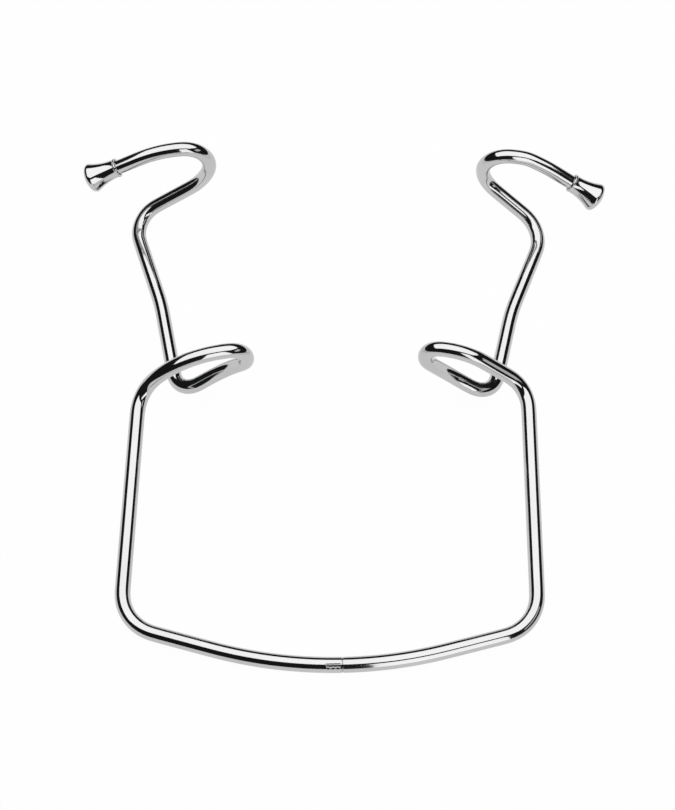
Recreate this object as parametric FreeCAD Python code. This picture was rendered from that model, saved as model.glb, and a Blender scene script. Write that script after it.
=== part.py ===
import FreeCAD, Part
import math
import os

# Self retaining wire retractor: two hand bent wires, joined end to end by a pin in the
# middle of the bow, each with a knob pressed on its free end.
# Lengths in mm, angles in degrees. Working frame: X across, Y from the bow to the hooks,
# Z up, with the bow's middle over the origin and the table at Z = 0.
os.makedirs("parts", exist_ok=True)
V = FreeCAD.Vector

# Wire stock
WIRE_D = 3.0
WIRE_R = WIRE_D / 2

# Main sizes of the form
HANDLE_HALF_WIDTH = 39.4
POST_LENGTH = 48.0
ARM_LENGTH = 42.8
EYE_TOP_HEIGHT = 17.7
EYE_FOOT_HEIGHT = 12.6

# Handle frame: a shallow bow and two posts in one plane that climbs toward the loops
FRAME_TILT = 8.0
BOW_RADIUS = 85.0
BOW_STRAIGHT = 18.0
BOW_CORNER_BEND = 8.3

# Pin joint that closes the bow, a little to the right of its middle
JOINT_X = 1.9
JOINT_PIN_D = 1.7
JOINT_PIN_DEPTH = 4.2
JOINT_FIT = 0.01
JOINT_CHAMFER = 0.15
WINDOW_LIP = 0.35
WINDOW_LENGTH = 3.05
WINDOW_WIDTH = 1.15
WINDOW_SLANT = 16.0
WINDOW_FACING = 54.5
PIN_BANDS = 3
PIN_BAND_WIDTH = 0.35
PIN_BAND_DEPTH = 0.12
PIN_BAND_PITCH = 0.9

# Bends that are alike on both wires
POST_TOP_BEND = 5.9
HEEL_BEND = 4.6
KNEE_BEND = 40.0

# Trumpet knob, pressed on a tenon that is turned on the wire's free end
KNOB_LENGTH = 7.4
KNOB_END_D = 6.1
KNOB_NECK_D = 3.85
KNOB_DOME_RADIUS = 5.0
KNOB_RIM_ROUND = 0.9
KNOB_FLARE_SLOPE = 24.0
COLLAR_D = 4.1
COLLAR_WIDTH = 0.45
TENON_D = 2.2
TENON_LENGTH = 3.0
KNOB_FIT = 0.01

# Cutters reach this far past the surface that they open
CUT_PAST = 0.2

# Hand bending leaves the wires a little unlike. A bend holds its step out from the middle
# and its step on toward the hooks, both from the bend before it, then the height of the
# wire's axis there and the bend radius. The arms lie on the table.
LEFT = {
    "corner_extra": 0.6,
    "post_extra": 0.0,
    "post_lean": -1.6,
    "rise": (-8.3, 1.8, 18.9, 16.8),
    "eye": (-13.2, 3.3),
    "eye_bends": (4.2, 3.4),
    "descent": (5.0, 2.3, 6.7, 16.0),
    "heel": (9.5, -3.2),
    "arm_extra": 2.6,
    "arm_out": (4.5, 7.3),
    "arm_end_bend": 5.6,
    "hook": [
        (-15.1, 3.1, 10.1, 8.9),
        (-6.1, 1.1, 21.2, 5.7),
        (14.5, -1.9, 21.2, 21.0),
        (8.4, -1.3, 17.55, 0),
    ],
}
RIGHT = {
    "corner_extra": -0.6,
    "post_extra": 1.9,
    "post_lean": 0.0,
    "rise": (-12.2, 2.4, 18.0, 11.8),
    "eye": (-8.3, 1.8),
    "eye_bends": (3.6, 4.2),
    "descent": (5.3, 1.3, 5.6, 14.3),
    "heel": (8.8, -3.3),
    "arm_extra": 0.0,
    "arm_out": (4.8, 8.2),
    "arm_end_bend": 6.6,
    "hook": [
        (-13.5, 7.6, 9.4, 5.5),
        (-0.5, -0.8, 19.3, 5.3),
        (9.3, -0.6, 18.3, 8.2),
        (4.6, -1.2, 16.3, 20.0),
        (4.85, -1.7, 13.8, 0),
    ],
}
SIDES = {"left": (-1, LEFT), "right": (1, RIGHT)}


def on_frame(across, along):
    """Point of the tilted handle plane, from distances across and along it."""
    tilt = math.radians(FRAME_TILT)
    return V(across, along * math.cos(tilt), WIRE_R + along * math.sin(tilt))


def on_bow(angle):
    """Point of the bow's arc, at an angle from its middle."""
    turn = math.radians(angle)
    return on_frame(BOW_RADIUS * math.sin(turn), BOW_RADIUS * (1 - math.cos(turn)))


def bow_end_angle(side):
    """Angle at which the bow's arc ends, so that its straight end runs on to the corner."""
    reach = (HANDLE_HALF_WIDTH + side["corner_extra"]) / math.hypot(BOW_RADIUS, BOW_STRAIGHT)
    return math.degrees(math.asin(reach) - math.atan(BOW_STRAIGHT / BOW_RADIUS))


def line(start, end):
    return Part.LineSegment(start, end).toShape()


def arc(start, middle, end):
    return Part.Arc(start, middle, end).toShape()


def rounded_path(points, radii):
    """Straight runs through the points, joined at each inner point by a tangent arc.

    Where a run is too short for the bends at its two ends, both are eased alike.
    """
    backs = [(a - b).normalize() for a, b in zip(points, points[1:-1])]
    aheads = [(c - b).normalize() for b, c in zip(points[1:-1], points[2:])]
    half_turns = [(math.pi - a.getAngle(b)) / 2 for a, b in zip(backs, aheads)]
    wanted = [0] + [r * math.tan(h) for r, h in zip(radii, half_turns)] + [0]
    runs = [(b - a).Length for a, b in zip(points, points[1:])]
    ease = [min(1, 0.98 * run / (a + b)) for run, a, b in zip(runs, wanted, wanted[1:])]
    edges = []
    start = points[0]
    for i, (corner, back, ahead, half) in enumerate(zip(points[1:-1], backs, aheads, half_turns)):
        setback = wanted[i + 1] * min(ease[i], ease[i + 1])
        bisector = (back + ahead).normalize()
        to_arc = setback / math.tan(half) * (1 / math.cos(half) - 1)
        edges.append(line(start, corner + back * setback))
        start = corner + ahead * setback
        edges.append(arc(corner + back * setback, corner + bisector * to_arc, start))
    edges.append(line(start, points[-1]))
    return edges


def split_run(edges, index):
    """Cuts one straight run in half, so that a joint can sit in it."""
    a = edges[index].valueAt(edges[index].FirstParameter)
    b = edges[index].valueAt(edges[index].LastParameter)
    middle = (a + b) / 2
    return edges[:index] + [line(a, middle), line(middle, b)] + edges[index + 1:], middle


def wire_solid(edges, name):
    """Round wire along a path of tangent edges."""
    path = Part.Wire(edges)
    first = edges[0]
    profile = Part.Wire([Part.makeCircle(
        WIRE_R, first.valueAt(first.FirstParameter), first.tangentAt(first.FirstParameter))])
    solid = path.makePipeShell([profile], True, False)
    share = solid.Volume / (math.pi * WIRE_R ** 2 * path.Length)
    print("%-18s length %6.2f mm, volume over section x length %.4f" % (name, path.Length, share))
    return solid


def ring_cut(at, outward):
    """Chamfers the rim of a wire end: a ring of triangular section to cut away."""
    rim = WIRE_R + CUT_PAST
    a = V(WIRE_R - JOINT_CHAMFER, 0, 0)
    b = V(rim, 0, 0)
    c = V(rim, 0, -JOINT_CHAMFER - (rim - WIRE_R))
    face = Part.Face(Part.makePolygon([a, b, c, a]))
    ring = face.revolve(V(), V(0, 0, 1), 360)
    ring.Placement = FreeCAD.Placement(at, FreeCAD.Rotation(V(0, 0, 1), outward))
    return ring


def side_points(side):
    """Corner points and bend radii of one wire, from the bow's end to the knob."""
    corner_x = HANDLE_HALF_WIDTH + side["corner_extra"]
    climb = math.radians(bow_end_angle(side))
    along = BOW_RADIUS * (1 - math.cos(climb)) + BOW_STRAIGHT * math.sin(climb)
    along_top = along + POST_LENGTH + side["post_extra"]
    half_arm = (ARM_LENGTH + side["arm_extra"]) / 2
    steps = [
        side["rise"],
        (*side["eye"], EYE_TOP_HEIGHT, side["eye_bends"][0]),
        (0, 0, EYE_FOOT_HEIGHT, side["eye_bends"][1]),
        side["descent"],
        (*side["heel"], WIRE_R, HEEL_BEND),
        (side["arm_out"][0], half_arm, WIRE_R, KNEE_BEND),
        (side["arm_out"][1], half_arm, WIRE_R, side["arm_end_bend"]),
        *side["hook"],
    ]
    points = [
        on_bow(bow_end_angle(side)),
        on_frame(corner_x, along),
        on_frame(corner_x + side["post_lean"], along_top),
    ]
    radii = [BOW_CORNER_BEND, POST_TOP_BEND]
    for out, on, height, radius in steps:
        points.append(V(points[-1].x + out, points[-1].y + on, height))
        radii.append(radius)
    outward = (points[-1] - points[-2]).normalize()
    return points, radii[:-1], points[-1], outward


def knob_solid(seat, outward):
    """Turned trumpet with a thin collar, bored for the wire's tenon.

    Flare, rim and domed end are three arcs; the rim runs on smoothly into the other two.
    """
    slope = math.radians(KNOB_FLARE_SLOPE)
    rim_x = KNOB_END_D / 2 - KNOB_RIM_ROUND
    half_dome = math.asin(rim_x / (KNOB_DOME_RADIUS - KNOB_RIM_ROUND))
    dome_z = KNOB_LENGTH - KNOB_DOME_RADIUS
    rim_z = dome_z + (KNOB_DOME_RADIUS - KNOB_RIM_ROUND) * math.cos(half_dome)

    def around(x, z, radius, angle):
        return V(x + radius * math.cos(angle), 0, z + radius * math.sin(angle))

    dome_start = math.pi / 2 - half_dome
    corners = [
        V(0, 0, 0),
        V(KNOB_NECK_D / 2, 0, 0),
        V(KNOB_NECK_D / 2, 0, COLLAR_WIDTH),
        around(rim_x, rim_z, KNOB_RIM_ROUND, -slope),
        around(rim_x, rim_z, KNOB_RIM_ROUND, dome_start),
        V(0, 0, KNOB_LENGTH),
    ]
    collar_middle = V(COLLAR_D / 2, 0, COLLAR_WIDTH / 2)
    flare = corners[3] - corners[2]
    sag = math.tan((slope - math.atan(flare.x / flare.z)) / 2) / 2
    flare_middle = (corners[2] + corners[3]) / 2 + V(-flare.z, 0, flare.x) * sag
    rim_middle = around(rim_x, rim_z, KNOB_RIM_ROUND, (dome_start - slope) / 2)
    dome_middle = around(0, dome_z, KNOB_DOME_RADIUS, math.pi / 2 - half_dome / 2)
    outline = [
        line(corners[0], corners[1]),
        arc(corners[1], collar_middle, corners[2]),
        arc(corners[2], flare_middle, corners[3]),
        arc(corners[3], rim_middle, corners[4]),
        arc(corners[4], dome_middle, corners[5]),
        line(corners[5], corners[0]),
    ]
    body = Part.Face(Part.Wire(outline)).revolve(V(), V(0, 0, 1), 360)
    bore = Part.makeCylinder(
        TENON_D / 2 + KNOB_FIT, TENON_LENGTH + CUT_PAST + KNOB_FIT, V(0, 0, -CUT_PAST))
    knob = body.cut(bore)
    knob.Placement = FreeCAD.Placement(seat, FreeCAD.Rotation(V(0, 0, 1), outward))
    return knob


# The joint in the bow: where it sits, and its direction along the wire
seam_angle = math.degrees(math.asin(JOINT_X / BOW_RADIUS))
seam = on_bow(seam_angle)
tilt = math.radians(FRAME_TILT)
turn = math.radians(seam_angle)
seam_axis = V(math.cos(turn), math.sin(turn) * math.cos(tilt), math.sin(turn) * math.sin(tilt))


def along_joint(shape):
    """Moves a shape made along +X at the origin into the joint."""
    shape.Placement = FreeCAD.Placement(seam, FreeCAD.Rotation(V(1, 0, 0), seam_axis))
    return shape


solids = {}
hinges = {}

for name, (mirror, side) in SIDES.items():
    points, radii, seat, outward = side_points(side)
    edges = rounded_path(points, radii)
    edges, hinges[name] = split_run(edges, 8)

    # Bow half: from the joint round the arc to the end of the corner bend
    seam_side = seam_angle * mirror
    half_arc = arc(on_bow(seam_side), on_bow((seam_side + bow_end_angle(side)) / 2), points[0])
    portions = {
        "bow": [half_arc] + edges[:2],
        "post": edges[2:3],
        "loop_top": edges[3:9],
        "loop_foot": edges[9:14],
        "arm": edges[14:17],
        "hook": edges[17:],
    }
    shapes = {part: wire_solid(path, name + "_" + part) for part, path in portions.items()}
    tenon = Part.makeCylinder(TENON_D / 2, 2 * TENON_LENGTH, seat - outward * TENON_LENGTH, outward)
    shapes["hook"] = shapes["hook"].fuse(tenon)
    shapes["knob"] = knob_solid(seat, outward)
    for part, shape in shapes.items():
        if mirror < 0:
            shape = shape.mirror(V(), V(1, 0, 0))
        solids[name + "_" + part] = shape
    hinges[name].x *= mirror

# Both bow ends are bored for the pin and lightly chamfered
bore_length = 2 * (JOINT_PIN_DEPTH + JOINT_FIT)
bore = Part.makeCylinder(JOINT_PIN_D / 2 + JOINT_FIT, bore_length, V(-bore_length / 2, 0, 0), V(1, 0, 0))
bore = along_joint(bore)
solids["left_bow"] = solids["left_bow"].cut(bore).cut(ring_cut(seam, seam_axis))
solids["right_bow"] = solids["right_bow"].cut(bore).cut(ring_cut(seam, seam_axis * -1))

# Window in the near, upper side of the left end: it leaves a lip at the joint, ends in a
# slanted wall and shows the pin
slant = WINDOW_WIDTH / 2 * math.tan(math.radians(WINDOW_SLANT))
window = Part.Face(Part.makePolygon([
    V(-WINDOW_LIP, WINDOW_WIDTH / 2, 0),
    V(-WINDOW_LENGTH - slant, WINDOW_WIDTH / 2, 0),
    V(-WINDOW_LENGTH + slant, -WINDOW_WIDTH / 2, 0),
    V(-WINDOW_LIP, -WINDOW_WIDTH / 2, 0),
    V(-WINDOW_LIP, WINDOW_WIDTH / 2, 0),
])).extrude(V(0, 0, WIRE_R + CUT_PAST))
window.rotate(V(), V(1, 0, 0), 90 - WINDOW_FACING)
solids["left_bow"] = solids["left_bow"].cut(along_joint(Part.Compound([window])))

# The pin, with shallow bands where the window shows it
pin = Part.makeCylinder(JOINT_PIN_D / 2, 2 * JOINT_PIN_DEPTH, V(-JOINT_PIN_DEPTH, 0, 0), V(1, 0, 0))
for band in range(PIN_BANDS):
    middle = -WINDOW_LIP - PIN_BAND_WIDTH - band * PIN_BAND_PITCH
    outer = Part.makeCylinder(JOINT_PIN_D, PIN_BAND_WIDTH, V(middle, 0, 0), V(-1, 0, 0))
    inner = Part.makeCylinder(
        JOINT_PIN_D / 2 - PIN_BAND_DEPTH, PIN_BAND_WIDTH, V(middle, 0, 0), V(-1, 0, 0))
    pin = pin.cut(outer.cut(inner))
solids["bow_joint_pin"] = along_joint(pin)

# Row frame: origin under the middle of the whole form, on the table
box = Part.Compound(list(solids.values())).optimalBoundingBox(False, False)
shift = V(-(box.XMin + box.XMax) / 2, -(box.YMin + box.YMax) / 2, -box.ZMin)
print("shift", shift)
print("size  x %.2f  y %.2f  z %.2f mm" % (box.XLength, box.YLength, box.ZLength))
for name, point in hinges.items():
    print("%s hinge" % name, point + shift)
print("joint", seam + shift, "axis", seam_axis)
for name, shape in solids.items():
    shape.translate(shift)
    if shape.ShapeType == "Compound" and len(shape.Solids) == 1:
        shape = shape.Solids[0]
    print("%-18s solids %d  faces %3d  valid %s  volume %.1f" % (
        name, len(shape.Solids), len(shape.Faces), shape.isValid(), shape.Volume))
    shape.exportStep("parts/%s.step" % name)
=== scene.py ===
# %% [markdown]
# A self retaining retractor: one instrument bent from two lengths of round steel wire.
# The wire is the handle, the spring, the arms and the hooks at once, so nearly all of the
# model is a path and a round section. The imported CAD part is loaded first. It fixes every
# size and place, and this script dresses it: continuous polished wire, turned knobs, a
# white table and a studio of one big light overhead and two soft cards.

import math

import bpy
import numpy as np
from mathutils import Matrix, Vector


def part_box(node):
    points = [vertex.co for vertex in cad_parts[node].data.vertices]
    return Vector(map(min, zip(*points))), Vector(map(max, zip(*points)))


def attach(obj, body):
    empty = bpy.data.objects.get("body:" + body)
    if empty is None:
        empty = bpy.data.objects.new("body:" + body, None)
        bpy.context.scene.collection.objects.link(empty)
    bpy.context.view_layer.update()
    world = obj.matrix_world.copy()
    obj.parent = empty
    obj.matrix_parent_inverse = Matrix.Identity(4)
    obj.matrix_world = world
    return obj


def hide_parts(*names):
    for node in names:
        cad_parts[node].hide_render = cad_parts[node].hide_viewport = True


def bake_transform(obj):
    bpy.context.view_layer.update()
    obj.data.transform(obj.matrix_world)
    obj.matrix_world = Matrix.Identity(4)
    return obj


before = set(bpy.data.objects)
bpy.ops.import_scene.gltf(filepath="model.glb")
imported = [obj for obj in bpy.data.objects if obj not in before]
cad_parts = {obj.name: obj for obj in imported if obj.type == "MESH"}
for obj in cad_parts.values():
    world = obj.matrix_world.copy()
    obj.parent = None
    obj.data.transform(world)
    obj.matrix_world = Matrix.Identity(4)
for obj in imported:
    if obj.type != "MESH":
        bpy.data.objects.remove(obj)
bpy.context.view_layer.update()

# %% [markdown]
# Three small helpers that the later cells share: a mesh from plain lists, an object placed
# in the scene, and a piece whose modifiers are applied by taking the mesh that they make.

# %% Helpers


def mesh_of(name, points, edges, faces):
    mesh = bpy.data.meshes.new(name)
    mesh.from_pydata(points, edges, faces)
    return mesh


def placed(name, data):
    obj = bpy.data.objects.new(name, data)
    bpy.context.scene.collection.objects.link(obj)
    return obj


def apply_modifiers(obj):
    bpy.context.view_layer.update()
    shape = obj.evaluated_get(bpy.context.evaluated_depsgraph_get())
    mesh = bpy.data.meshes.new_from_object(shape)
    obj.modifiers.clear()
    obj.data = mesh


# %% [markdown]
# Every bend of the wire is written as a workshop would write it: where the corner lies if
# the wire ran straight into it, and the radius it is rounded with. A bend holds its step
# out from the middle and its step on toward the hooks, both from the bend before it, then
# the height of the wire's axis there and the radius. The two wires are bent by hand, so
# they are a little unlike, and each has its own list.

# %% The bends of both wires
MM = 0.001
WIRE_RADIUS = 1.5
HANDLE_HALF_WIDTH = 39.4
POST_LENGTH = 48.0
ARM_LENGTH = 42.8
EYE_TOP_HEIGHT = 17.7
EYE_FOOT_HEIGHT = 12.6
FRAME_TILT = math.radians(8.0)
BOW_RADIUS = 85.0
BOW_STRAIGHT = 18.0
BOW_CORNER_BEND = 8.3
POST_TOP_BEND = 5.9
HEEL_BEND = 4.6
KNEE_BEND = 40.0
JOINT_X = 1.9

LEFT = {
    "corner_extra": 0.6,
    "post_extra": 0.0,
    "post_lean": -1.6,
    "rise": (-8.3, 1.8, 18.9, 16.8),
    "eye": (-13.2, 3.3),
    "eye_bends": (4.2, 3.4),
    "descent": (5.0, 2.3, 6.7, 16.0),
    "heel": (9.5, -3.2),
    "arm_extra": 2.6,
    "arm_out": (4.5, 7.3),
    "arm_end_bend": 5.6,
    "hook": [
        (-15.1, 3.1, 10.1, 8.9),
        (-6.1, 1.1, 21.2, 5.7),
        (14.5, -1.9, 21.2, 21.0),
        (8.4, -1.3, 17.55, 0),
    ],
}
RIGHT = {
    "corner_extra": -0.6,
    "post_extra": 1.9,
    "post_lean": 0.0,
    "rise": (-12.2, 2.4, 18.0, 11.8),
    "eye": (-8.3, 1.8),
    "eye_bends": (3.6, 4.2),
    "descent": (5.3, 1.3, 5.6, 14.3),
    "heel": (8.8, -3.3),
    "arm_extra": 0.0,
    "arm_out": (4.8, 8.2),
    "arm_end_bend": 6.6,
    "hook": [
        (-13.5, 7.6, 9.4, 5.5),
        (-0.5, -0.8, 19.3, 5.3),
        (9.3, -0.6, 18.3, 8.2),
        (4.6, -1.2, 16.3, 20.0),
        (4.85, -1.7, 13.8, 0),
    ],
}


def on_frame(across, along):
    """Point of the tilted handle plane, in mm."""
    return Vector((across, along * math.cos(FRAME_TILT), WIRE_RADIUS + along * math.sin(FRAME_TILT)))


def on_bow(angle):
    """Point of the bow's arc, at an angle from its middle."""
    return on_frame(BOW_RADIUS * math.sin(angle), BOW_RADIUS * (1 - math.cos(angle)))


def wire_corners(side):
    """Angle where the bow's arc ends, then the corners and radii that follow it."""
    corner_x = HANDLE_HALF_WIDTH + side["corner_extra"]
    reach = math.hypot(BOW_RADIUS, BOW_STRAIGHT)
    bow_end = math.asin(corner_x / reach) - math.atan(BOW_STRAIGHT / BOW_RADIUS)
    along = BOW_RADIUS * (1 - math.cos(bow_end)) + BOW_STRAIGHT * math.sin(bow_end)
    half_arm = (ARM_LENGTH + side["arm_extra"]) / 2
    corners = [
        on_bow(bow_end),
        on_frame(corner_x, along),
        on_frame(corner_x + side["post_lean"], along + POST_LENGTH + side["post_extra"]),
    ]
    radii = [BOW_CORNER_BEND, POST_TOP_BEND]
    steps = [
        side["rise"],
        (*side["eye"], EYE_TOP_HEIGHT, side["eye_bends"][0]),
        (0, 0, EYE_FOOT_HEIGHT, side["eye_bends"][1]),
        side["descent"],
        (*side["heel"], WIRE_RADIUS, HEEL_BEND),
        (side["arm_out"][0], half_arm, WIRE_RADIUS, KNEE_BEND),
        (side["arm_out"][1], half_arm, WIRE_RADIUS, side["arm_end_bend"]),
        *side["hook"],
    ]
    for out, on, height, radius in steps:
        corners.append(Vector((corners[-1].x + out, corners[-1].y + on, height)))
        radii.append(radius)
    return bow_end, corners, radii


SEAM_ANGLE = math.asin(JOINT_X / BOW_RADIUS)
pin_low, pin_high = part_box("bow_joint_pin")
SHIFT = (Vector(pin_low) + Vector(pin_high)) / 2 / MM - on_bow(SEAM_ANGLE)
print("working frame to row frame, mm:", [round(c, 3) for c in SHIFT])

# %% [markdown]
# Straight runs with tangent arcs have sudden changes of curvature, and a mirror surface
# shows each one as a kink in its highlight. A real bend eases in and out, so the finished
# path is sampled finely and gently averaged along its length. Both ends stay where they are.
# The step and the easing are in mm. Where two bends meet on a short run, they share nearly
# all of it.

# %% Centre lines
STEP = 0.15
EASING = 0.9
BOW_POINTS = 200
FEWEST_ON_A_BEND = 4
RUN_SHARE = 0.98


def corner_arc(before, corner, after, radius, ease):
    """Points of the arc that rounds a corner; ease shortens it where runs are short."""
    back = (before - corner).normalized()
    ahead = (after - corner).normalized()
    half = (math.pi - back.angle(ahead)) / 2
    setback = radius * math.tan(half) * ease
    radius = setback / math.tan(half)
    bisector = (back + ahead).normalized()
    centre = corner + bisector * (radius / math.cos(half))
    side = (back * setback - bisector * (radius / math.cos(half))).normalized()
    normal = -bisector
    across = (side - normal * side.dot(normal)).normalized()
    count = max(FEWEST_ON_A_BEND, int(2 * half * radius / STEP))
    angles = [half * (1 - 2 * i / count) for i in range(count + 1)]
    return [centre + radius * (normal * math.cos(a) + across * math.sin(a)) for a in angles]


def resample(points, step):
    points = np.array([tuple(p) for p in points])
    lengths = np.r_[0, np.cumsum(np.linalg.norm(np.diff(points, axis=0), axis=1))]
    at = np.linspace(0, lengths[-1], int(lengths[-1] / step) + 1)
    return np.stack([np.interp(at, lengths, points[:, k]) for k in range(3)], axis=1)


def averaged(points, sigma):
    """Gaussian average along the path, with the path carried on past both ends."""
    reach = int(4 * sigma / STEP)
    weights = np.exp(-0.5 * (np.arange(-reach, reach + 1) * STEP / sigma) ** 2)
    weights /= weights.sum()
    start = 2 * points[0] - points[reach:0:-1]
    end = 2 * points[-1] - points[-2:-reach - 2:-1]
    longer = np.concatenate([start, points, end])
    return np.stack([np.convolve(longer[:, k], weights, mode="valid") for k in range(3)], axis=1)


def centre_line(side, mirror):
    """Centre line of one wire from the bow joint to the knob, in the row frame, in mm."""
    bow_end, corners, radii = wire_corners(side)
    half_turns = []
    for before, corner, after in zip(corners, corners[1:], corners[2:]):
        half_turns.append((math.pi - (before - corner).angle(after - corner)) / 2)
    wanted = [0] + [r * math.tan(h) for r, h in zip(radii, half_turns)] + [0]
    runs = [(b - a).length for a, b in zip(corners, corners[1:])]
    spare = [min(1, RUN_SHARE * run / (a + b)) for run, a, b in zip(runs, wanted, wanted[1:])]
    seam = SEAM_ANGLE * mirror
    points = [on_bow(seam + (bow_end - seam) * i / BOW_POINTS) for i in range(BOW_POINTS + 1)]
    for i in range(1, len(corners) - 1):
        points += corner_arc(*corners[i - 1:i + 2], radii[i - 1], min(spare[i - 1], spare[i]))
    points.append(corners[-1])
    line = averaged(resample(points, STEP), EASING)
    return line * (mirror, 1, 1) + np.array(SHIFT)


lines = {"left": centre_line(LEFT, -1), "right": centre_line(RIGHT, 1)}
for name, line in lines.items():
    print(name, "wire:", len(line), "points,", round(len(line) * STEP, 1), "mm")

# %% [markdown]
# The wire itself is a Geometry Nodes tree: a line of points becomes a curve, and a circle
# is swept along it. The tree also writes two attributes, the distance along the wire and
# the direction round it, so that a finish can follow the wire through its bends. The sweep
# starts a little thinner: that is the small chamfer at the joint.

# %% Geometry Nodes: drawn wire


def wire_tree():
    tree = bpy.data.node_groups.new("drawn_wire", "GeometryNodeTree")
    face = tree.interface
    face.new_socket("Geometry", in_out="INPUT", socket_type="NodeSocketGeometry")
    radius = face.new_socket("Wire Radius", in_out="INPUT", socket_type="NodeSocketFloat")
    sides = face.new_socket("Sides", in_out="INPUT", socket_type="NodeSocketInt")
    chamfer = face.new_socket("Chamfer", in_out="INPUT", socket_type="NodeSocketFloat")
    finish = face.new_socket("Finish", in_out="INPUT", socket_type="NodeSocketMaterial")
    face.new_socket("Geometry", in_out="OUTPUT", socket_type="NodeSocketGeometry")

    def node(kind, **settings):
        made = tree.nodes.new(kind)
        for key, value in settings.items():
            setattr(made, key, value)
        return made

    def store(geometry, name, value, kind):
        kept = node("GeometryNodeStoreNamedAttribute", data_type=kind, domain="POINT")
        kept.inputs["Name"].default_value = name
        tree.links.new(geometry, kept.inputs["Geometry"])
        tree.links.new(value, kept.inputs["Value"])
        return kept.outputs["Geometry"]

    given = node("NodeGroupInput")
    to_curve = node("GeometryNodeMeshToCurve")
    tree.links.new(given.outputs["Geometry"], to_curve.inputs["Mesh"])
    parameter = node("GeometryNodeSplineParameter")
    path = store(to_curve.outputs["Curve"], "along", parameter.outputs["Length"], "FLOAT")

    circle = node("GeometryNodeCurvePrimitiveCircle")
    tree.links.new(given.outputs["Wire Radius"], circle.inputs["Radius"])
    tree.links.new(given.outputs["Sides"], circle.inputs["Resolution"])
    outward = node("ShaderNodeVectorMath", operation="NORMALIZE")
    tree.links.new(node("GeometryNodeInputPosition").outputs[0], outward.inputs[0])
    section = store(circle.outputs["Curve"], "around", outward.outputs[0], "FLOAT_VECTOR")

    shrunk = node("ShaderNodeMath", operation="DIVIDE")
    tree.links.new(given.outputs["Chamfer"], shrunk.inputs[0])
    tree.links.new(given.outputs["Wire Radius"], shrunk.inputs[1])
    start = node("ShaderNodeMath", operation="SUBTRACT")
    start.inputs[0].default_value = 1.0
    tree.links.new(shrunk.outputs[0], start.inputs[1])
    scale = node("ShaderNodeMapRange")
    tree.links.new(parameter.outputs["Length"], scale.inputs["Value"])
    tree.links.new(given.outputs["Chamfer"], scale.inputs["From Max"])
    tree.links.new(start.outputs[0], scale.inputs["To Min"])

    sweep = node("GeometryNodeCurveToMesh")
    sweep.inputs["Fill Caps"].default_value = True
    tree.links.new(scale.outputs["Result"], sweep.inputs["Scale"])
    tree.links.new(path, sweep.inputs["Curve"])
    tree.links.new(section, sweep.inputs["Profile Curve"])
    realize = node("GeometryNodeRealizeInstances")
    tree.links.new(sweep.outputs["Mesh"], realize.inputs["Geometry"])
    paint = node("GeometryNodeSetMaterial")
    tree.links.new(realize.outputs["Geometry"], paint.inputs["Geometry"])
    tree.links.new(given.outputs["Finish"], paint.inputs["Material"])
    result = node("NodeGroupOutput")
    tree.links.new(paint.outputs["Geometry"], result.inputs["Geometry"])
    return tree, [socket.identifier for socket in (radius, sides, chamfer, finish)]


drawn_wire, (RADIUS_INPUT, SIDES_INPUT, CHAMFER_INPUT, FINISH_INPUT) = wire_tree()
print("tree:", drawn_wire.name, "with", len(drawn_wire.nodes), "nodes")

# %% [markdown]
# Shader maths reads best as plain Python. A small class wraps a socket and overloads the
# operators, so that an expression adds its own Math nodes.

# %% Shader expressions


class Value:
    """A shader socket in an expression."""

    def __init__(self, material, socket):
        self.material = material
        self.socket = socket

    def math(self, operation, *others):
        node = self.material.node_tree.nodes.new("ShaderNodeMath")
        node.operation = operation
        for slot, item in zip(node.inputs, (self,) + others):
            if isinstance(item, Value):
                self.material.node_tree.links.new(item.socket, slot)
            else:
                slot.default_value = item
        return Value(self.material, node.outputs[0])

    def __add__(self, other):
        return self.math("ADD", other)

    def __mul__(self, other):
        return self.math("MULTIPLY", other)

    __radd__ = __add__


class Finish:
    """A material under construction: one method adds any node with settings and sockets."""

    def __init__(self, name):
        self.material = bpy.data.materials.new(name)
        self.material.use_nodes = True
        self.tree = self.material.node_tree
        self.tree.nodes.clear()

    def add(self, kind, settings=None, **sockets):
        node = self.tree.nodes.new(kind)
        for key, value in (settings or {}).items():
            if key == "stops":
                for stop, (place, colour) in zip(node.color_ramp.elements, value):
                    stop.position, stop.color = place, colour
            else:
                setattr(node, key, value)
        for key, value in sockets.items():
            socket = node.inputs[key.replace("_", " ")]
            if isinstance(value, Value):
                value = value.socket
            if isinstance(value, bpy.types.NodeSocket):
                self.tree.links.new(value, socket)
            else:
                socket.default_value = value
        return node

    def value(self, socket):
        return Value(self.material, socket)

    def close(self, shader):
        self.add("ShaderNodeOutputMaterial", Surface=shader)
        return self.material


# %% [markdown]
# Polished stainless steel is a mirror that gives back about six tenths of the light. What
# makes it read as steel is the room in it. The surface is still not perfect: buffing leaves
# faint streaks along the wire and slight waves, and handling leaves a few duller patches.
# A noise scale is per metre, except for the streaks, which also go round the section. The
# wave height is in metres.

# %% Finishes: polished steel
STEEL = (0.605, 0.605, 0.602, 1)
DULLER = (0.93, 0.93, 0.94, 1)
DULL_FROM, DULL_TO = 0.3, 0.7
STREAKS_ALONG = 150.0
STREAKS_ROUND = 12.0
GRAIN_SCALE = 2600.0
PATCH_SCALE = 90.0
WAVE_SCALE = 260.0
GRAIN_HEIGHT = 0.03
DULL_ROUGHNESS = 0.8
GRAIN_ROUGHNESS = 0.4


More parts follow.
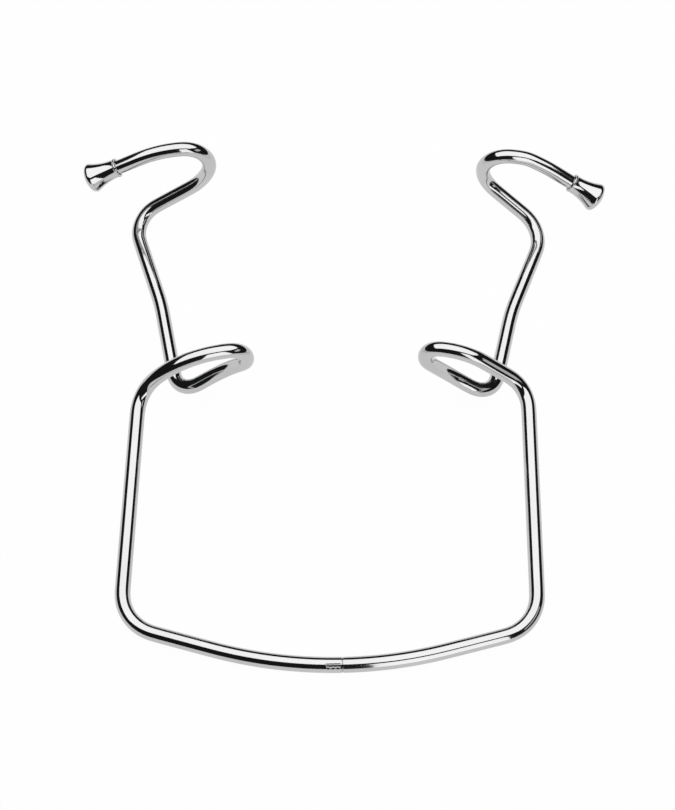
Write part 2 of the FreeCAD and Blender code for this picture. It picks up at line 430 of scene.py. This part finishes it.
def polished_steel(name, roughness, wave_height, along_wire=False):
    """Steel with streaks that follow the wire, or with an even grain."""
    finish = Finish(name)
    place = finish.add("ShaderNodeTexCoord").outputs["Object"]
    if along_wire:
        along = finish.value(finish.add("ShaderNodeAttribute", {"attribute_name": "along"}).outputs["Fac"])
        around = finish.add("ShaderNodeAttribute", {"attribute_name": "around"}).outputs["Vector"]
        round_x, round_y = finish.add("ShaderNodeSeparateXYZ", Vector=around).outputs[:2]
        grain = finish.add(
            "ShaderNodeCombineXYZ", X=along * STREAKS_ALONG, Y=finish.value(round_x) * STREAKS_ROUND,
            Z=finish.value(round_y) * STREAKS_ROUND).outputs["Vector"]
        streaks = finish.add("ShaderNodeTexNoise", Vector=grain, Scale=1.0, Detail=2.0)
    else:
        streaks = finish.add("ShaderNodeTexNoise", Vector=place, Scale=GRAIN_SCALE, Detail=2.0)
    patches = finish.add("ShaderNodeTexNoise", Vector=place, Scale=PATCH_SCALE, Detail=3.0)
    waves = finish.add("ShaderNodeTexNoise", Vector=place, Scale=WAVE_SCALE, Detail=1.0)
    dull = finish.value(patches.outputs["Fac"])
    fine = finish.value(streaks.outputs["Fac"])
    soft = finish.value(waves.outputs["Fac"])
    dull_steel = tuple(a * b for a, b in zip(STEEL, DULLER))
    stops = [(DULL_FROM, dull_steel), (DULL_TO, STEEL)]
    tint = finish.add("ShaderNodeValToRGB", {"stops": stops}, Fac=dull)
    height = soft + fine * GRAIN_HEIGHT
    bump = finish.add("ShaderNodeBump", Height=height, Distance=wave_height, Strength=1.0)
    rough = roughness + dull * roughness * DULL_ROUGHNESS + fine * roughness * GRAIN_ROUGHNESS
    steel = finish.add(
        "ShaderNodeBsdfPrincipled", Base_Color=tint.outputs["Color"], Metallic=1.0,
        Roughness=rough, Normal=bump.outputs["Normal"])
    return finish.close(steel.outputs["BSDF"])


wire_finish = polished_steel("polished_wire", 0.05, 0.000006, along_wire=True)
knob_finish = polished_steel("polished_knob", 0.045, 0.000003)
pin_finish = polished_steel("turned_pin", 0.07, 0.000003)
print("finishes:", wire_finish.name, knob_finish.name, pin_finish.name)

# %% [markdown]
# Now the two wires. Each is one piece from the joint to the knob, as on the real object,
# although the CAD part divides it where the spring works. A straight stretch needs few
# rings of points and a bend needs more.

# %% The two wires
WIRE_SIDES = 72
JOINT_CHAMFER = 0.15
MOST_TURN = math.radians(2.5)
MOST_LENGTH = 1.6


def wire_piece(name, line):
    """One continuous wire as a plain mesh, in metres."""
    edges = [(i, i + 1) for i in range(len(line) - 1)]
    obj = placed(name, mesh_of(name, [tuple(p) for p in line * MM], edges, []))
    modifier = obj.modifiers.new("wire", "NODES")
    modifier.node_group = drawn_wire
    modifier[RADIUS_INPUT] = WIRE_RADIUS * MM
    modifier[SIDES_INPUT] = WIRE_SIDES
    modifier[CHAMFER_INPUT] = JOINT_CHAMFER * MM
    modifier[FINISH_INPUT] = wire_finish
    apply_modifiers(obj)
    return obj


def thinned(line):
    """Keeps the chamfer's point, and one where the path has turned or has run on some way."""
    kept = [0, round(JOINT_CHAMFER / STEP)]
    for i in range(kept[-1] + 1, len(line) - 1):
        before = Vector(line[kept[-1] + 1] - line[kept[-1]])
        here = Vector(line[i + 1] - line[i])
        if before.angle(here) > MOST_TURN or (i - kept[-1]) * STEP > MOST_LENGTH:
            kept.append(i)
    return line[kept + [len(line) - 1]]


wires = {}
for side, line in lines.items():
    wires[side] = wire_piece(side + "_wire", thinned(line))
    print(wires[side].name, len(wires[side].data.polygons), "faces")

# %% [markdown]
# The joint in the bow. The left wire's end is a socket: it is bored for the pin, and a
# small window is cut in its near, upper side, with a slanted end, so that the pin shows. The
# right wire's end is bored too. Boolean modifiers make the cuts.

# %% The joint's bores and window
PIN_RADIUS = 0.85
PIN_DEPTH = 4.2
PIN_FIT = 0.02
BORE_SIDES = 48
CUT_PAST = 0.2
WINDOW_LIP = 0.35
WINDOW_LENGTH = 3.05
WINDOW_WIDTH = 1.15
WINDOW_SLANT = math.radians(16.0)
WINDOW_FACING = math.radians(54.5)
SHARP_ON_WIRE = math.radians(35)

seam = on_bow(SEAM_ANGLE) + SHIFT
seam_axis = Vector((
    math.cos(SEAM_ANGLE),
    math.sin(SEAM_ANGLE) * math.cos(FRAME_TILT),
    math.sin(SEAM_ANGLE) * math.sin(FRAME_TILT)))


def joint_matrix():
    """Carries a shape made along +X at the origin, in mm, into the joint."""
    turn = Vector((1, 0, 0)).rotation_difference(seam_axis).to_matrix().to_4x4()
    return Matrix.Translation(seam * MM) @ turn @ Matrix.Scale(MM, 4)


def prism(name, first, last):
    """Closed prism between two rings that run counter-clockwise, seen from past the last."""
    count = len(first)
    faces = [tuple(reversed(range(count))), tuple(range(count, 2 * count))]
    faces += [(i, (i + 1) % count, (i + 1) % count + count, i + count) for i in range(count)]
    return mesh_of(name, first + last, [], faces)


def cut(obj, cutter_mesh, turn=Matrix.Identity(4)):
    """Takes a cutter away from a piece."""
    cutter_mesh.transform(joint_matrix() @ turn)
    cutter_mesh.update()
    cutter = placed("cutter", cutter_mesh)
    boolean = obj.modifiers.new("cut", "BOOLEAN")
    boolean.object = cutter
    boolean.operation = "DIFFERENCE"
    boolean.solver = "EXACT"
    apply_modifiers(obj)
    bpy.data.objects.remove(cutter)


bore_radius = PIN_RADIUS + PIN_FIT
turns = [2 * math.pi * i / BORE_SIDES for i in range(BORE_SIDES)]
ring = [(bore_radius * math.cos(turn), bore_radius * math.sin(turn)) for turn in turns]
for wire in wires.values():
    cut(wire, prism("bore", [(-PIN_DEPTH, *p) for p in ring], [(PIN_DEPTH, *p) for p in ring]))

half = WINDOW_WIDTH / 2
slant = half * math.tan(WINDOW_SLANT)
outline = [
    (-WINDOW_LIP, -half), (-WINDOW_LIP, half),
    (-WINDOW_LENGTH - slant, half), (-WINDOW_LENGTH + slant, -half)]
window = prism("window", [(*p, 0) for p in outline], [(*p, WIRE_RADIUS + CUT_PAST) for p in outline])
cut(wires["left"], window, Matrix.Rotation(math.pi / 2 - WINDOW_FACING, 4, "X"))
for obj in wires.values():
    obj.data.shade_smooth()
    obj.data.set_sharp_from_angle(angle=SHARP_ON_WIRE)
    print(obj.name, len(obj.data.polygons), "faces after cutting")

# %% [markdown]
# The knobs are turned parts, so each is an outline swept round an axis. The outline starts
# at a thin collar, with a narrow countersink round the wire that reads as a dark line. It
# runs in a concave flare to the rim, and closes in a low dome. The first point lies inside
# the wire, where it closes the knob unseen.

# %% The knobs
KNOB_LENGTH = 7.4
KNOB_END = 3.05
KNOB_NECK = 1.925
COLLAR = 2.05
COLLAR_WIDTH = 0.45
COLLAR_ROUND = 0.07
COLLAR_EDGE = 0.05
SINK_DEPTH = 0.35
SINK_WIDTH = 0.14
SINK_SLOPE = 0.05
INSIDE_WIRE = 0.3
DOME_RADIUS = 5.0
RIM_ROUND = 0.9
FLARE_SLOPE = math.radians(24.0)
COLLAR_ROWS, FLARE_ROWS, RIM_ROWS, DOME_ROWS = 16, 40, 20, 28
KNOB_SIDES = 96
SHARP_ON_KNOB = math.radians(30)
WIRE_END_STEPS = 7


def turn_points(centre, radius, start, end, count):
    """Points of an arc about a centre (radius, height)."""
    angles = [start + (end - start) * i / count for i in range(count + 1)]
    return [(centre[0] + radius * math.cos(a), centre[1] + radius * math.sin(a)) for a in angles]


def bowed(a, b, sag, count):
    """Points of the arc from a to b whose middle lies a sag to the left of their chord."""
    chord = Vector(b) - Vector(a)
    radius = (chord.length ** 2 / 4 + sag ** 2) / (2 * sag)
    left = Vector((-chord.y, chord.x)).normalized()
    centre = (Vector(a) + Vector(b)) / 2 + left * (sag - radius)
    start = math.atan2(a[1] - centre.y, a[0] - centre.x)
    end = math.atan2(b[1] - centre.y, b[0] - centre.x)
    sweep = (end - start + math.pi) % (2 * math.pi) - math.pi
    return turn_points(centre, abs(radius), start, start + sweep, count)


def knob_outline():
    """Points (radius, height) of a knob, from inside the wire to the top of the dome."""
    rim_x = KNOB_END - RIM_ROUND
    half_dome = math.asin(rim_x / (DOME_RADIUS - RIM_ROUND))
    dome_z = KNOB_LENGTH - DOME_RADIUS
    rim = (rim_x, dome_z + (DOME_RADIUS - RIM_ROUND) * math.cos(half_dome))
    upright = math.pi / 2
    rounded = turn_points(rim, RIM_ROUND, -FLARE_SLOPE, upright - half_dome, RIM_ROWS)
    flare = Vector(rounded[0]) - Vector((KNOB_NECK, COLLAR_WIDTH))
    bend = FLARE_SLOPE - math.atan2(flare.x, flare.y)
    sink = WIRE_RADIUS + SINK_WIDTH
    points = [(WIRE_RADIUS - INSIDE_WIRE, SINK_DEPTH), (sink, SINK_DEPTH), (sink + SINK_SLOPE, 0)]
    points += bowed((COLLAR - COLLAR_EDGE, 0), (KNOB_NECK, COLLAR_WIDTH), -COLLAR_ROUND, COLLAR_ROWS)
    points += bowed(points[-1], rounded[0], flare.length / 2 * math.tan(bend / 2), FLARE_ROWS)[1:]
    points += rounded[1:]
    points += turn_points((0, dome_z), DOME_RADIUS, upright - half_dome, upright, DOME_ROWS)[1:-1]
    return points


def turned(name, outline, seat, outward):
    """Sweeps an outline of (radius, height) round an axis and closes both ends."""
    sides = KNOB_SIDES
    rows = len(outline)
    points = []
    for radius, height in outline:
        for i in range(sides):
            turn = 2 * math.pi * i / sides
            points.append((radius * math.cos(turn), radius * math.sin(turn), height))
    faces = []
    for row in range(rows - 1):
        for i in range(sides):
            j = (i + 1) % sides
            faces.append((row * sides + i, row * sides + j, (row + 1) * sides + j, (row + 1) * sides + i))
    points += [(0, 0, outline[0][1]), (0, 0, KNOB_LENGTH)]
    for i in range(sides):
        j = (i + 1) % sides
        faces.append((j, i, rows * sides))
        faces.append(((rows - 1) * sides + i, (rows - 1) * sides + j, rows * sides + 1))
    mesh = mesh_of(name, points, [], faces)
    turn = Vector((0, 0, 1)).rotation_difference(outward).to_matrix().to_4x4()
    mesh.transform(Matrix.Translation(seat) @ turn @ Matrix.Scale(MM, 4))
    mesh.shade_smooth()
    mesh.set_sharp_from_angle(angle=SHARP_ON_KNOB)
    mesh.materials.append(knob_finish)
    return placed(name, mesh)


knobs = {}
for side, line in lines.items():
    outward = Vector(line[-1] - line[-1 - WIRE_END_STEPS]).normalized()
    knobs[side] = turned(side + "_knob_turned", knob_outline(), Vector(line[-1]) * MM, outward)
    print(knobs[side].name, len(knobs[side].data.polygons), "faces")

# %% [markdown]
# Each knob is tied to its jaw, the body that moves. The wire crosses the spring's joint,
# but here each wire stays one piece, baked in place and tied to no body. The pin stays the
# CAD part's own, with a turned finish.

# %% Tie the knobs to the jaws
for side in ("left", "right"):
    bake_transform(wires[side])
    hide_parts(*[side + part for part in (
        "_bow", "_post", "_loop_top", "_loop_foot", "_arm", "_hook")])
    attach(knobs[side], side + "_jaw")
    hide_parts(side + "_knob")
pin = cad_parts["bow_joint_pin"]
pin.data.materials.clear()
pin.data.materials.append(pin_finish)
print("tied:", [obj.name for obj in list(wires.values()) + list(knobs.values())])

# %% [markdown]
# The stage. Steel shows what stands round it, so the studio is laid out for its
# reflections: a white table below, a wide light over it, two soft cards, and a dark room
# round them. To the camera the table is nearly all glow, so that it is white and keeps only
# a trace of the object's shadow. Mirrors see less glow and more of the paper's own light.

# %% Table
TABLE = 0.9
CAMERA_GLOW = 0.975
MIRROR_GLOW = 0.65
WHITE = (1, 1, 1, 1)
PAPER = (0.97, 0.97, 0.97, 1)


def sheet(name, corners, material):
    """A flat piece of the stage."""
    mesh = mesh_of(name, corners, [], [tuple(range(len(corners)))])
    mesh.materials.append(material)
    obj = placed(name, mesh)
    return obj


def mixed(tree, share, first, second):
    """Mixes two shaders of a node tree, as much of the second as the share says."""
    mix = tree.nodes.new("ShaderNodeMixShader")
    for slot, socket in zip(mix.inputs, (share, first, second)):
        tree.links.new(socket, slot)
    return mix.outputs[0]


def table_white():
    finish = Finish("table_white")
    rays = finish.add("ShaderNodeLightPath")
    mirrors = finish.value(rays.outputs["Is Glossy Ray"])
    share = finish.value(rays.outputs["Is Camera Ray"]) * CAMERA_GLOW + mirrors * MIRROR_GLOW
    paper = finish.add("ShaderNodeBsdfDiffuse", Color=PAPER)
    glow = finish.add("ShaderNodeEmission", Color=WHITE, Strength=1.0)
    return finish.close(mixed(finish.tree, share.socket, paper.outputs[0], glow.outputs[0]))


table_corners = [(-TABLE, -TABLE, 0), (TABLE, -TABLE, 0), (TABLE, TABLE, 0), (-TABLE, TABLE, 0)]
table = sheet("table", table_corners, table_white())
print(table.name + ":", 2 * TABLE, "m square")

# %% [markdown]
# The lights. The roof is a glowing sheet, and where its edges lie decides where the dark
# and white bands run along the wire. Its corners are written in roof heights. The two cards
# stand upright, one in front of the bow and one to its right, and light the sides of the
# wire that the roof doesn't reach. The room is dark to the steel, and white to the camera
# past the table's edge.

# %% Lights
ROOF_HEIGHT = 0.6
ROOF_OUTLINE = [
    (-0.95, -0.47), (0.58, -0.47), (0.90, 0.0), (1.06, 0.5),
    (0.45, 1.0), (-0.10, 1.15), (-0.95, 1.15)]
ROOF_RADIANCE = 1.52
CARDS = {
    "near_card": {
        "centre": (0.13, -0.40, 0.24), "target": (0, 0, 0.24), "size": (0.16, 0.48), "radiance": 1.5},
    "side_card": {
        "centre": (0.78, -0.34, 0.52), "target": (0, -0.34, 0.52), "size": (0.60, 0.26), "radiance": 0.65},
}
ROOM = (0.012, 0.0125, 0.0135, 1)


def soft_light(name, centre, target, size, radiance):
    """Rectangle light of an even radiance, turned toward a target."""
    data = bpy.data.lights.new(name, "AREA")
    data.shape = "RECTANGLE"
    data.size, data.size_y = size
    data.energy = radiance * math.pi * size[0] * size[1]
    obj = placed(name, data)
    obj.location = centre
    obj.rotation_euler = (Vector(target) - Vector(centre)).to_track_quat("-Z", "Y").to_euler()
    obj.visible_camera = False
    return obj


def glowing(name, radiance):
    finish = Finish(name)
    glow = finish.add("ShaderNodeEmission", Color=WHITE, Strength=radiance)
    return finish.close(glow.outputs[0])


roof_corners = [(x * ROOF_HEIGHT, y * ROOF_HEIGHT, ROOF_HEIGHT) for x, y in ROOF_OUTLINE]
roof = sheet("roof", roof_corners, glowing("roof_light", ROOF_RADIANCE))
roof.visible_camera = False
lights = [roof] + [soft_light(name, **card) for name, card in CARDS.items()]
world = bpy.data.worlds.new("room")
world.use_nodes = True
tree = world.node_tree
room = tree.nodes["Background"]
room.inputs["Color"].default_value = ROOM
backdrop = tree.nodes.new("ShaderNodeBackground")
backdrop.inputs["Color"].default_value = WHITE
to_camera = tree.nodes.new("ShaderNodeLightPath").outputs["Is Camera Ray"]
seen = mixed(tree, to_camera, room.outputs[0], backdrop.outputs[0])
tree.links.new(seen, tree.nodes["World Output"].inputs["Surface"])
bpy.context.scene.world = world
print("lights:", [light.name for light in lights])

# %% [markdown]
# The camera looks down on the bow from the near side, close enough that the hooks look a
# little smaller than the bow. Its place and lens come from matching the wire's thickness
# and the outline in the photograph. It looks at a point on the table, and the lens is first
# given in pixels of the picture's height.

# %% Camera
LOOK_DOWN = math.radians(57.64)
DISTANCE = 394.6
TARGET = Vector((0.98 + SHIFT.x, 58.35 + SHIFT.y, 0))
LENS_PIXELS = 1941.4
PICTURE_HEIGHT = 810
SENSOR = 36
camera = placed("camera", bpy.data.cameras.new("camera"))
camera.data.sensor_width = SENSOR
camera.data.lens = LENS_PIXELS * SENSOR / PICTURE_HEIGHT
camera.location = (TARGET + DISTANCE * Vector((0, -math.cos(LOOK_DOWN), math.sin(LOOK_DOWN)))) * MM
camera.rotation_euler = (math.pi / 2 - LOOK_DOWN, 0, 0)
bpy.context.scene.camera = camera
bpy.context.scene.view_settings.view_transform = "Standard"
print("camera at", [round(c, 4) for c in camera.location], "lens", round(camera.data.lens, 2))
